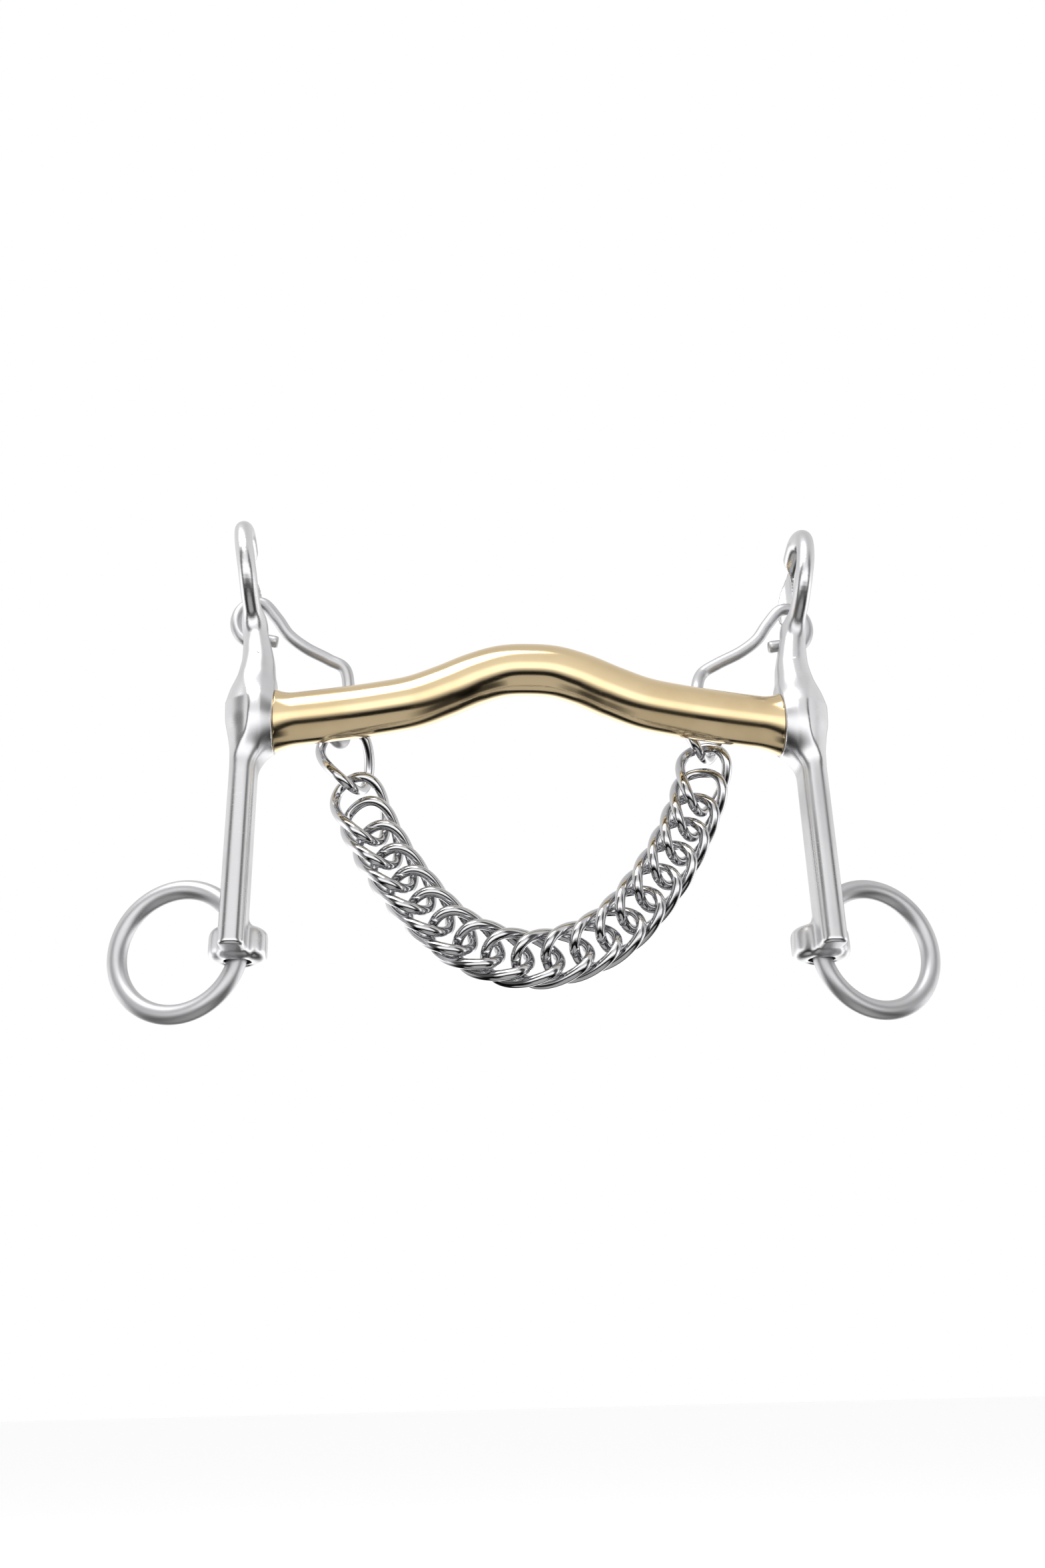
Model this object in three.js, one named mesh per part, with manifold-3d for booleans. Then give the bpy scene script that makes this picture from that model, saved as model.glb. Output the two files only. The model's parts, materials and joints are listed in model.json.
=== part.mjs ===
// Curb bit with fixed cheeks: a low-port mouthpiece, two cheeks with eyes and ring knobs,
// two loose rein rings, two curb hooks and a double-link curb chain.
// Millimetres. X runs across the bit to the horse's left, Y backwards, Z up along the cheeks.
// "Right" and "left" in the names are as seen from the front: the right cheek is on the +X side.
// The model is laid out from the middle of the mouthpiece, then lowered so that the origin lies
// midway between the two eyes, where the bridle's cheekpieces bear on them.

import * as THREE from 'three';
import { mergeVertices } from 'three/addons/utils/BufferGeometryUtils.js';
import Module from 'manifold-3d';

const wasm = await Module();
wasm.setup();

// ---- driving dimensions -------------------------------------------------------------------

const CLEARANCE = 0.15;            // half of the gap between touching pieces
const MOUTH_HALF_WIDTH = 67.5;     // half of the 135 mm between the cheeks
const BAR_RADIUS = 7.1;            // 14 mm mouthpiece
const PORT_RISE = 16.2;            // top of the port above the ends of the bar
const BAR_END_HEIGHT = -2.6;       // centre of the bar where it meets the cheeks
const FLARE_LENGTH = 5.5;          // where the bar swells into the cheek
const FLARE_RADIUS = 8.6;
const FLARE_DEPTH_RATIO = 0.9;     // the flare is a little shallower than it is tall
const FLARE_HEIGHT = BAR_END_HEIGHT + 0.2;
const SPIGOT_RADIUS = 4;           // each cheek ends in a spigot inside the mouthpiece
const SPIGOT_LENGTH = 5.5;

const SHANK_X = 74.9;              // centre plane of the shanks
const SHANK_THICKNESS = 6.6;
const SHANK_DEPTH = 11;
const SHANK_BOTTOM = -65.2;
const EYE_WIRE_RADIUS = 2.4;
const EYE_TOP = 55.6;              // centre of the wire at the top of the eye
const EYE_BEARING_HEIGHT = EYE_TOP - EYE_WIRE_RADIUS;

const KNOB_CENTRE = new THREE.Vector3(74.7, 9.4, -61.5);
const KNOB_RADIUS = 7.5;
const KNOB_HEIGHT = 8.6;
const KNOB_BORE = 3.45;

const RING_WIRE_RADIUS = 2.5;
const RING_RADIUS = 16.5;          // centre of the wire: a 38 mm ring
const RING_SLACK = 0.25;           // the ring bears on the outer side of its hole
const RING_SWING = 14;             // degrees behind the plane of the mouthpiece, as it hangs

const HOOK_WIRE_RADIUS = 1.7;
const HOOK_BEND_RADIUS = 4;
const HOOK_TIP_RISE = 0.9;         // how far the bend's free end rises past its half circle
const EYELET_CENTRE = new THREE.Vector3(75.2, 6.4, 31.3);
const EYELET_HALF_WIDTH = 5.3;
const EYELET_HALF_HEIGHT = 6.4;
const EYELET_ANGLES = [-62, -100, -138, -176, -214, -252, -290];
const EYELET_TAIL = new THREE.Vector3(68.9, 6.6, 25.2);  // the wire's cut end

const CHAIN_DEPTH = 12.6;          // the chain hangs this far behind the mouthpiece's centre
const LINK_WIRE_RADIUS = 1.4;
const LINK_HALF_LENGTH = 9.7;      // along the chain, to the centre of the wire
const LINK_HALF_WIDTH = 6.45;
const LINK_TWIST = 3.1;            // how far the twisted wire rises out of the link's plane
const LINK_COUNT = 19;             // middle links, each through the two before and the two after
const END_LINK_OVERLAP = 3.4;      // the end links pass through one middle link only
const CHAIN_ROLL = 18;             // degrees that each end of the chain is turned about its own line

const LINK_STEPS = 20;
const LINK_SIDES = 6;

// ---- materials ----------------------------------------------------------------------------

function polished(color, roughness) {
  return new THREE.MeshStandardMaterial({ color, roughness, metalness: 1 });
}

const goldAlloy = () => polished(0xd9bd84, 0.12);
const polishedSteel = () => polished(0xdcdcde, 0.16);
const satinSteel = () => polished(0xb4b4b6, 0.34);
const chainSteel = () => polished(0xd2d2d4, 0.08);

// ---- helpers ------------------------------------------------------------------------------

// A closed three.js geometry as a solid that can be joined and cut.
function toSolid(geometry) {
  const bare = geometry.clone();
  bare.deleteAttribute('normal');
  bare.deleteAttribute('uv');
  const merged = mergeVertices(bare, 1e-4);
  const vertProperties = new Float32Array(merged.attributes.position.array);
  const triVerts = new Uint32Array(merged.index.array);
  return new wasm.Manifold(new wasm.Mesh({ numProp: 3, vertProperties, triVerts }));
}

function toGeometry(solid) {
  const mesh = solid.getMesh();
  const geometry = new THREE.BufferGeometry();
  geometry.setAttribute('position', new THREE.BufferAttribute(mesh.vertProperties, 3));
  geometry.setIndex(new THREE.BufferAttribute(mesh.triVerts, 1));
  geometry.computeVertexNormals();
  return geometry;
}

// The same geometry on the other side of the YZ plane, with its faces still pointing out.
function mirrored(geometry) {
  const bare = geometry.clone();
  bare.deleteAttribute('normal');
  bare.deleteAttribute('uv');
  const copy = mergeVertices(bare, 1e-4);
  copy.scale(-1, 1, 1);
  const index = copy.index.array;
  for (let i = 0; i < index.length; i += 3) {
    const first = index[i];
    index[i] = index[i + 1];
    index[i + 1] = first;
  }
  copy.computeVertexNormals();
  return copy;
}

function namedMesh(name, geometry, material) {
  const mesh = new THREE.Mesh(geometry, material);
  mesh.name = name;
  return mesh;
}

function disc(radius) {
  const shape = new THREE.Shape();
  shape.absarc(0, 0, radius, 0, 2 * Math.PI);
  return shape;
}

// A round bar along an open curve. A circle is cut into twice its curveSegments.
function barAlong(curve, radius, steps, sides) {
  return new THREE.ExtrudeGeometry(disc(radius), {
    extrudePath: curve,
    steps,
    curveSegments: sides / 2,
    bevelEnabled: false,
  });
}

// A ring of round wire bent onto a closed curve.
function wireLoop(curve, radius, steps, sides) {
  const geometry = new THREE.TorusGeometry(1, 1, sides, steps);
  const frames = curve.computeFrenetFrames(steps, true);
  const position = geometry.attributes.position;
  const point = new THREE.Vector3();
  for (let side = 0; side <= sides; side++) {
    const angle = (2 * Math.PI * side) / sides;
    for (let step = 0; step <= steps; step++) {
      curve.getPointAt((step % steps) / steps, point);
      point.addScaledVector(frames.binormals[step % steps], radius * Math.cos(angle));
      point.addScaledVector(frames.normals[step % steps], radius * Math.sin(angle));
      position.setXYZ(side * (steps + 1) + step, point.x, point.y, point.z);
    }
  }
  return geometry;
}

function lathe(points, segments) {
  const profile = points.map(([radius, height]) => new THREE.Vector2(radius, height));
  return new THREE.LatheGeometry(profile, segments);
}

function vectors(points) {
  return points.map((point) => new THREE.Vector3(...point));
}

// ---- mouthpiece ---------------------------------------------------------------------------

// Half of the bar's centre line, from the cheek to the top of the port, as distance from the
// middle and rise above the bar's end.
const BAR_LINE = [
  [MOUTH_HALF_WIDTH + 3, -0.3],
  [54, 1.9],
  [41, 4],
  [31, 6.2],
  [22.5, 9.6],
  [14.5, 13.3],
  [7, PORT_RISE - 0.5],
];

function barCurve() {
  const right = BAR_LINE.map(([x, rise]) => new THREE.Vector3(x, 0, BAR_END_HEIGHT + rise));
  const left = BAR_LINE.map(([x, rise]) => new THREE.Vector3(-x, 0, BAR_END_HEIGHT + rise)).reverse();
  const top = new THREE.Vector3(0, 0, BAR_END_HEIGHT + PORT_RISE);
  return new THREE.CatmullRomCurve3([...right, top, ...left], false, 'centripetal');
}

// The swell at the right end of the bar, from the bar's own radius out to the cheek.
function flare(from, to) {
  const inside = BAR_RADIUS - 2 * CLEARANCE;
  const profile = [[0, from]];
  for (const share of [0, 0.25, 0.5, 0.75, 1]) {
    const radius = inside + (FLARE_RADIUS - inside) * share * share;
    profile.push([radius, from + (to - from) * share]);
  }
  profile.push([0, to]);
  const geometry = lathe(profile, 20);
  geometry.rotateZ(-Math.PI / 2);
  geometry.scale(1, FLARE_DEPTH_RATIO, 1);
  geometry.translate(0, 0, FLARE_HEIGHT);
  return geometry;
}

function spigot(radius, from, to) {
  const geometry = new THREE.CylinderGeometry(radius, radius, to - from, 16);
  geometry.rotateZ(Math.PI / 2);
  geometry.translate((from + to) / 2, 0, FLARE_HEIGHT);
  return geometry;
}

function makeMouthpiece() {
  const end = MOUTH_HALF_WIDTH - CLEARANCE;
  const swell = flare(MOUTH_HALF_WIDTH - FLARE_LENGTH, end);
  const socket = spigot(SPIGOT_RADIUS + 2 * CLEARANCE, end - SPIGOT_LENGTH - 2 * CLEARANCE, end + 4);
  const trim = new THREE.BoxGeometry(2 * end, 60, 80);
  let solid = toSolid(barAlong(barCurve(), BAR_RADIUS, 40, 18));
  solid = solid.add(toSolid(swell)).add(toSolid(mirrored(swell)));
  solid = solid.intersect(toSolid(trim));
  solid = solid.subtract(toSolid(socket)).subtract(toSolid(mirrored(socket)));
  return namedMesh('mouthpiece', toGeometry(solid), goldAlloy());
}

// ---- cheeks -------------------------------------------------------------------------------

// Stations up the cheek: height, centre across, width across, depth front to back.
const CHEEK_STATIONS = [
  [SHANK_BOTTOM, SHANK_X, SHANK_THICKNESS - 1.6, SHANK_DEPTH - 1.8],
  [SHANK_BOTTOM + 0.9, SHANK_X, SHANK_THICKNESS, SHANK_DEPTH],
  [-40, SHANK_X, SHANK_THICKNESS, SHANK_DEPTH],
  [-17, SHANK_X, SHANK_THICKNESS, SHANK_DEPTH],
  [-12, 74.6, 7.8, 11.8],
  [-8, 74.2, 10.2, 13.2],
  [-4, 74.1, 12.3, 14.8],
  [1, 74.15, 12.7, 15.6],
  [5, 73.8, 11.6, 14.2],
  [10, 72.9, 9.8, 11.8],
  [15, 72.7, 8.6, 10],
  [20, 73.3, 7.4, 8.8],
  [25, 74.2, 6.5, 8],
  [28, 74.6, 5.6, 6.8],
];

function roundedSquare() {
  const half = 0.5;
  const corner = 0.2;
  const shape = new THREE.Shape();
  shape.moveTo(half - corner, -half);
  shape.absarc(half - corner, -half + corner, corner, -Math.PI / 2, 0);
  shape.absarc(half - corner, half - corner, corner, 0, Math.PI / 2);
  shape.absarc(-half + corner, half - corner, corner, Math.PI / 2, Math.PI);
  shape.absarc(-half + corner, -half + corner, corner, Math.PI, 1.5 * Math.PI);
  return shape;
}

// Shank, boss and upper cheek as one bar whose section changes from station to station.
function cheekBar() {
  const steps = CHEEK_STATIONS.length - 1;
  const options = { depth: 1, steps, curveSegments: 3, bevelEnabled: false };
  const geometry = new THREE.ExtrudeGeometry(roundedSquare(), options);
  const position = geometry.attributes.position;
  for (let i = 0; i < position.count; i++) {
    const [height, centre, width, depth] = CHEEK_STATIONS[Math.round(position.getZ(i) * steps)];
    position.setXYZ(i, centre + width * position.getX(i), depth * position.getY(i), height);
  }
  return geometry;
}

// Half of the eye's centre line: across, back from the middle, up.
const EYE_LINE = [
  [75.1, 6.5, 31],
  [75.8, 11, 37],
  [77, 11.6, 44.5],
  [78, 8, 52],
];

function eyeCurve() {
  const bottom = new THREE.Vector3(74.4, 0, 26.6);
  const top = new THREE.Vector3(78.3, 0, EYE_TOP);
  const rear = vectors(EYE_LINE);
  const front = EYE_LINE.map(([x, y, z]) => new THREE.Vector3(x, -y, z)).reverse();
  return new THREE.CatmullRomCurve3([bottom, ...rear, top, ...front], true, 'centripetal');
}

function knob() {
  const half = KNOB_HEIGHT / 2;
  const profile = [
    [KNOB_BORE, -half],
    [KNOB_RADIUS - 1, -half],
    [KNOB_RADIUS - 0.1, -0.5 * half],
    [KNOB_RADIUS, 0],
    [KNOB_RADIUS - 0.1, 0.5 * half],
    [KNOB_RADIUS - 1, half],
    [KNOB_BORE, half],
    [KNOB_BORE, -half],
  ];
  const geometry = lathe(profile, 24);
  geometry.rotateX(Math.PI / 2);
  geometry.translate(KNOB_CENTRE.x, KNOB_CENTRE.y, KNOB_CENTRE.z);
  return geometry;
}

function knobHole() {
  const geometry = new THREE.CylinderGeometry(KNOB_BORE, KNOB_BORE, KNOB_HEIGHT + 4, 24);
  geometry.rotateX(Math.PI / 2);
  geometry.translate(KNOB_CENTRE.x, KNOB_CENTRE.y, KNOB_CENTRE.z);
  return geometry;
}

// The cheek's own share of the swell between bar and boss, with the spigot that the bar sits on.
function cheekRoot() {
  const face = MOUTH_HALF_WIDTH + CLEARANCE;
  const profile = [
    [0, face],
    [FLARE_RADIUS, face],
    [FLARE_RADIUS + 0.9, face + 1.2],
    [FLARE_RADIUS, face + 5],
    [0, face + 5],
  ];
  const geometry = lathe(profile, 20);
  geometry.rotateZ(-Math.PI / 2);
  geometry.scale(1, FLARE_DEPTH_RATIO, 1);
  geometry.translate(0, 0, FLARE_HEIGHT);
  return toSolid(geometry).add(toSolid(spigot(SPIGOT_RADIUS, face - SPIGOT_LENGTH, face + 2)));
}

function cheekGeometry() {
  const eye = wireLoop(eyeCurve(), EYE_WIRE_RADIUS, 32, 10);
  let solid = toSolid(cheekBar());
  solid = solid.add(toSolid(eye)).add(cheekRoot()).add(toSolid(knob()));
  solid = solid.subtract(toSolid(knobHole()));
  return toGeometry(solid);
}

// ---- rein rings ---------------------------------------------------------------------------

// Each ring stands upright through its knob and has swung back behind the shank.
function makeRing(name, side) {
  const geometry = new THREE.TorusGeometry(RING_RADIUS, RING_WIRE_RADIUS, 10, 36);
  geometry.rotateX(Math.PI / 2);
  const ring = namedMesh(name, geometry, satinSteel());
  const swing = THREE.MathUtils.degToRad(RING_SWING);
  const reach = RING_RADIUS - RING_SLACK;
  const x = KNOB_CENTRE.x + reach * Math.cos(swing);
  const y = KNOB_CENTRE.y + reach * Math.sin(swing);
  ring.position.set(side * x, y, KNOB_CENTRE.z);
  ring.rotation.z = side * swing;
  return ring;
}

// ---- curb hooks ---------------------------------------------------------------------------

// The eyelet starts at the wire's cut end inside the cheek, passes behind it, round its outside
// and back through the eye.
function eyelet() {
  const points = [EYELET_TAIL];
  for (const degrees of EYELET_ANGLES) {
    const angle = THREE.MathUtils.degToRad(degrees);
    const x = EYELET_CENTRE.x - EYELET_HALF_WIDTH * Math.cos(angle);
    const z = EYELET_CENTRE.z + EYELET_HALF_HEIGHT * Math.sin(angle);
    points.push(new THREE.Vector3(x, EYELET_CENTRE.y, z));
  }
  return points;
}

// The S from the eyelet, down and inwards, to the rear of the mouthpiece.
const HOOK_STEM = vectors([
  [69.4, 7.6, 33.2],
  [66.2, 8.6, 28.8],
  [61.5, 9.8, 25.4],
  [55, 11.2, 22.4],
  [50.4, 12, 19.6],
]);

// The lower bend that holds the end link: down one side of the link's tip, under it and up.
function hookBend(tip, lean) {
  const across = new THREE.Vector3(Math.cos(lean), Math.sin(lean), 0).multiplyScalar(HOOK_BEND_RADIUS);
  const points = [];
  for (const degrees of [0, 45, 90, 135, 180]) {
    const angle = THREE.MathUtils.degToRad(degrees);
    const point = tip.clone().addScaledVector(across, Math.cos(angle));
    point.z -= HOOK_BEND_RADIUS * Math.sin(angle);
    points.push(point);
  }
  const free = points[points.length - 1].clone();
  free.z += HOOK_TIP_RISE;
  return [...points, free];
}

// ---- curb chain ---------------------------------------------------------------------------

// The chain's centre line, left to right: across and up.
const CHAIN_LINE = [
  [-49.2, -7.6],
  [-44.2, -24],
  [-33.7, -42.8],
  [-19, -58.3],
  [0, -64.2],
  [19, -58.3],
  [33.7, -42.8],
  [44.2, -24],
  [48.5, -10],
  [49.2, 2.9],
];

const chainCurve = new THREE.CatmullRomCurve3(
  CHAIN_LINE.map(([x, z]) => new THREE.Vector3(x, CHAIN_DEPTH, z)),
  false,
  'centripetal',
);

// A link lies along X and is twisted so that its neighbours pass through it and lie flat.
class TwistedLink extends THREE.Curve {
  getPoint(t, target = new THREE.Vector3()) {
    const angle = 2 * Math.PI * t;
    const x = LINK_HALF_LENGTH * Math.cos(angle);
    const y = LINK_HALF_WIDTH * Math.sin(angle);
    return target.set(x, y, -LINK_TWIST * Math.sin(2 * angle));
  }
}

// Where a link sits on the chain's line: X along the chain, Y to the inside of the loop.
function linkPlace(share) {
  const along = chainCurve.getTangentAt(share).normalize();
  const forwards = new THREE.Vector3(0, -1, 0);
  const inwards = new THREE.Vector3().crossVectors(forwards, along);
  const roll = THREE.MathUtils.degToRad(CHAIN_ROLL * (2 * share - 1));
  const width = inwards.clone().multiplyScalar(Math.cos(roll)).addScaledVector(forwards, Math.sin(roll));
  const thickness = new THREE.Vector3().crossVectors(along, width);
  const matrix = new THREE.Matrix4().makeBasis(along, width, thickness);
  return matrix.setPosition(chainCurve.getPointAt(share));
}

function makeLink(name, geometry, share) {
  const link = namedMesh(name, geometry, chainSteel());
  link.applyMatrix4(linkPlace(share));
  return link;
}

function makeChain() {
  const geometry = wireLoop(new TwistedLink(), LINK_WIRE_RADIUS, LINK_STEPS, LINK_SIDES);
  const length = chainCurve.getLength();
  const endStep = 2 * LINK_HALF_LENGTH - END_LINK_OVERLAP;
  const pitch = (length - 2 * endStep) / (LINK_COUNT - 1);
  const chain = new THREE.Group();
  chain.add(makeLink('left_end_link', geometry, 0));
  for (let i = 0; i < LINK_COUNT; i++) {
    const name = `chain_link_${String(i + 1).padStart(2, '0')}`;
    chain.add(makeLink(name, geometry, (endStep + i * pitch) / length));
  }
  chain.add(makeLink('right_end_link', geometry, 1));
  return chain;
}

// ---- assembly -----------------------------------------------------------------------------

// The tip of an end link that its hook passes under, and the line that the tip's wire crosses.
function endTip(share, end) {
  const tip = new THREE.Vector3(end * LINK_HALF_LENGTH, 0, 0);
  return tip.applyMatrix4(linkPlace(share));
}

function hookGeometry(bend) {
  const curve = new THREE.CatmullRomCurve3([...eyelet(), ...HOOK_STEM, ...bend], false, 'centripetal');
  return barAlong(curve, HOOK_WIRE_RADIUS, 46, 10);
}

function makeHooks() {
  const lean = THREE.MathUtils.degToRad(45 + CHAIN_ROLL);
  const rightTip = endTip(1, 1);
  const rightHook = hookGeometry(hookBend(rightTip, lean + Math.PI));
  const leftTip = endTip(0, -1);
  leftTip.x = -leftTip.x;
  const leftHook = mirrored(hookGeometry(hookBend(leftTip, Math.PI - lean)));
  const hooks = new THREE.Group();
  hooks.add(namedMesh('right_curb_hook', rightHook, satinSteel()));
  hooks.add(namedMesh('left_curb_hook', leftHook, satinSteel()));
  return hooks;
}

function makeCheeks() {
  const right = cheekGeometry();
  const cheeks = new THREE.Group();
  cheeks.add(namedMesh('right_cheek', right, polishedSteel()));
  cheeks.add(namedMesh('left_cheek', mirrored(right), polishedSteel()));
  return cheeks;
}

const bit = new THREE.Group();
bit.position.z = -EYE_BEARING_HEIGHT;
bit.add(makeMouthpiece());
bit.add(makeCheeks());
bit.add(makeRing('right_rein_ring', 1));
bit.add(makeRing('left_rein_ring', -1));
bit.add(makeHooks());
bit.add(makeChain());

const curbBit = new THREE.Group();
curbBit.add(bit);

export default curbBit;
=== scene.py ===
"""A curb bit with fixed cheeks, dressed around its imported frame.

The mouthpiece is a polished copper alloy, the cheeks are polished steel, the rein rings and
curb hooks are satin steel and the curb chain is bright steel wire. Shapes are worked out in
millimetres from the middle of the mouthpiece and are put in place, in metres, by their meshes.
"""

import json
import logging
import math
from dataclasses import dataclass, field
from enum import Enum
from typing import Callable, Sequence

import bmesh
import bpy
import numpy as np
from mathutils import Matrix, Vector


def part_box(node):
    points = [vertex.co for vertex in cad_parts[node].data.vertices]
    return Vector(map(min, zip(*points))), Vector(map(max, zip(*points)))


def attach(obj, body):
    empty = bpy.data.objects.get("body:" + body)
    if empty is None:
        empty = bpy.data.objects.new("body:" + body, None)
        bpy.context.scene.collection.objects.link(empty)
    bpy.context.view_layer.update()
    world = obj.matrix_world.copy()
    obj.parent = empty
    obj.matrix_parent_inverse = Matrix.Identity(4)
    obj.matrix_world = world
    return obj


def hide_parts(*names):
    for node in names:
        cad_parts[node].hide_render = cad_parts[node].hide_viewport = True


LOG = logging.getLogger("curb_bit")
MM = 0.001

Points = np.ndarray
Field = Callable[[Points], np.ndarray]


class Side(Enum):
    """A side of the bit as seen from the front; its value is the sign of X."""

    RIGHT = 1
    LEFT = -1

    @property
    def word(self) -> str:
        """The side's name as the frame spells it."""
        return self.name.lower()


class Slot(Enum):
    """The material slots of the record."""

    GOLD = "gold_alloy"
    CHEEK = "polished_steel"
    SATIN = "satin_steel"
    CHAIN = "chain_steel"


# ---- curves and meshes --------------------------------------------------------------------


def spline(points: Sequence[Sequence[float]], count: int, closed: bool = False) -> Points:
    """A centripetal Catmull-Rom curve through the points, sampled at even arc length.

    Args:
        points: the points that the curve passes through.
        count: how many samples are returned.
        closed: whether the curve returns to its first point.

    Returns:
        The samples, one row each. A closed curve doesn't repeat its first sample.
    """
    knots = np.asarray(points, float)
    if closed:
        padded = np.vstack([knots[-1], knots, knots[0], knots[1]])
    else:
        padded = np.vstack([2 * knots[0] - knots[1], knots, 2 * knots[-1] - knots[-2]])
    share = np.linspace(0, 1, 64, endpoint=False)[:, None]
    pieces = []
    for p0, p1, p2, p3 in zip(padded, padded[1:], padded[2:], padded[3:]):
        d0, d1, d2 = (math.sqrt(np.linalg.norm(b - a)) for a, b in ((p0, p1), (p1, p2), (p2, p3)))
        start = ((p1 - p0) / d0 - (p2 - p0) / (d0 + d1) + (p2 - p1) / d1) * d1
        end = ((p2 - p1) / d1 - (p3 - p1) / (d1 + d2) + (p3 - p2) / d2) * d1
        cube, square = share**3, share**2
        piece = (2 * cube - 3 * square + 1) * p1 + (cube - 2 * square + share) * start
        pieces.append(piece + (3 * square - 2 * cube) * p2 + (cube - square) * end)
    pieces.append(padded[-2][None])
    line = np.vstack(pieces)
    length = np.concatenate([[0], np.cumsum(np.linalg.norm(np.diff(line, axis=0), axis=1))])
    where = np.linspace(0, length[-1], count, endpoint=not closed)
    return np.stack([np.interp(where, length, line[:, axis]) for axis in range(3)], axis=1)


def frames_along(line: Points, closed: bool) -> tuple[Points, Points]:
    """Two directions square to a line at each sample, turned as little as possible.

    Args:
        line: the samples of the line.
        closed: whether the line returns to its first sample.

    Returns:
        The normals and the binormals.
    """
    ahead = np.roll(line, -1, axis=0) - np.roll(line, 1, axis=0)
    if not closed:
        ahead[0] = line[1] - line[0]
        ahead[-1] = line[-1] - line[-2]
    ahead /= np.linalg.norm(ahead, axis=1)[:, None]
    normal = np.zeros_like(line)
    guess = np.array([0.0, 1.0, 0.0])
    if abs(ahead[0] @ guess) > 0.9:
        guess = np.array([1.0, 0.0, 0.0])
    for i, direction in enumerate(ahead):
        guess = guess - direction * (guess @ direction)
        guess /= np.linalg.norm(guess)
        normal[i] = guess
    binormal = np.cross(ahead, normal)
    if closed:
        last = normal[-1] - ahead[0] * (normal[-1] @ ahead[0])
        error = math.atan2(last @ binormal[0], last @ normal[0])
        turn = -error * np.arange(len(line))[:, None] / len(line)
        normal, binormal = (
            normal * np.cos(turn) + binormal * np.sin(turn),
            binormal * np.cos(turn) - normal * np.sin(turn),
        )
    return normal, binormal


def tube(
    line: Points,
    wide: np.ndarray,
    deep: np.ndarray,
    sides: int,
    closed: bool = False,
) -> bmesh.types.BMesh:
    """A round or oval bar along a line.

    Args:
        line: samples of the bar's centre line.
        wide: half width at each sample, along the line's normal.
        deep: half depth at each sample, along the line's binormal.
        sides: how many faces go round the bar.
        closed: whether the bar is a loop.

    Returns:
        The closed mesh, in the line's own unit.
    """
    normal, binormal = frames_along(line, closed)
    mesh = bmesh.new()
    rings = []
    for centre, n, b, w, d in zip(line, normal, binormal, wide, deep):
        ring = []
        for side in range(sides):
            angle = 2 * math.pi * side / sides
            ring.append(mesh.verts.new(centre + n * w * math.cos(angle) + b * d * math.sin(angle)))
        rings.append(ring)
    following = rings[1:] + ([rings[0]] if closed else [])
    for ring, after in zip(rings, following):
        for side in range(sides):
            other = (side + 1) % sides
            mesh.faces.new((ring[side], ring[other], after[other], after[side]))
    if not closed:
        mesh.faces.new(list(reversed(rings[0])))
        mesh.faces.new(rings[-1])
    bmesh.ops.recalc_face_normals(mesh, faces=mesh.faces)
    return mesh


def surface_net(
    shape: Field,
    low: Sequence[float],
    high: Sequence[float],
    cell: float,
) -> bmesh.types.BMesh:
    """The surface where a distance field is zero, as a fine mesh that lies exactly on it.

    Args:
        shape: signed distance from the surface, negative inside.
        low: lowest corner of the box that holds the surface.
        high: highest corner of that box.
        cell: size of the mesh's faces.

    Returns:
        The closed mesh, with its faces pointing out.
    """
    low_corner = np.asarray(low, float)
    counts = np.ceil((np.asarray(high, float) - low_corner) / cell).astype(int) + 1
    axes = [low_corner[i] + cell * np.arange(counts[i]) for i in range(3)]
    grid = np.stack(np.meshgrid(*axes, indexing="ij"), axis=-1)
    inside = (shape(grid.reshape(-1, 3)) < 0).reshape(counts)
    corner_count = sum(
        inside[i : counts[0] - 1 + i, j : counts[1] - 1 + j, k : counts[2] - 1 + k].astype(int)
        for i in (0, 1)
        for j in (0, 1)
        for k in (0, 1)
    )
    mixed = (corner_count > 0) & (corner_count < 8)
    number = np.full(mixed.shape, -1)
    number[mixed] = np.arange(mixed.sum())
    place = low_corner + cell * (np.argwhere(mixed) + 0.5)
    for _ in range(6):
        place = settle(shape, place, cell)
    faces = []
    for axis in range(3):
        first, second = (axis + 1) % 3, (axis + 2) % 3
        near = np.take(inside, range(counts[axis] - 1), axis=axis)
        far = np.take(inside, range(1, counts[axis]), axis=axis)
        spots = np.argwhere(near != far)
        spots = spots[(spots[:, first] > 0) & (spots[:, second] > 0)]
        leaving = near[tuple(spots.T)]
        around = []
        for back_first, back_second in ((1, 1), (0, 1), (0, 0), (1, 0)):
            spot = spots.copy()
            spot[:, first] -= back_first
            spot[:, second] -= back_second
            around.append(number[tuple(spot.T)])
        quads = np.stack(around, axis=1)
        quads[~leaving] = quads[~leaving][:, ::-1]
        faces.append(quads)
    mesh = bmesh.new()
    verts = [mesh.verts.new(point) for point in place]
    for quad in np.vstack(faces):
        mesh.faces.new([verts[i] for i in quad])
    return mesh


def settle(shape: Field, place: Points, cell: float) -> Points:
    """Moves points a step towards the surface of a distance field.

    Args:
        shape: the distance field.
        place: the points.
        cell: the most that a point may move.

    Returns:
        The moved points.
    """
    reach = 0.02
    value = shape(place)
    slope = np.stack(
        [(shape(place + step) - shape(place - step)) / (2 * reach) for step in np.eye(3) * reach],
        axis=1,
    )
    move = -value[:, None] * slope / np.maximum((slope**2).sum(axis=1), 0.05)[:, None]
    size = np.linalg.norm(move, axis=1)[:, None]
    return place + move * np.minimum(1, cell / np.maximum(size, 1e-9))


def blended(a: np.ndarray, b: np.ndarray, fillet: float) -> np.ndarray:
    """The union of two distance fields, with a fillet where they meet."""
    share = np.clip(0.5 + 0.5 * (b - a) / fillet, 0, 1)
    return b + (a - b) * share - fillet * share * (1 - share)


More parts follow.
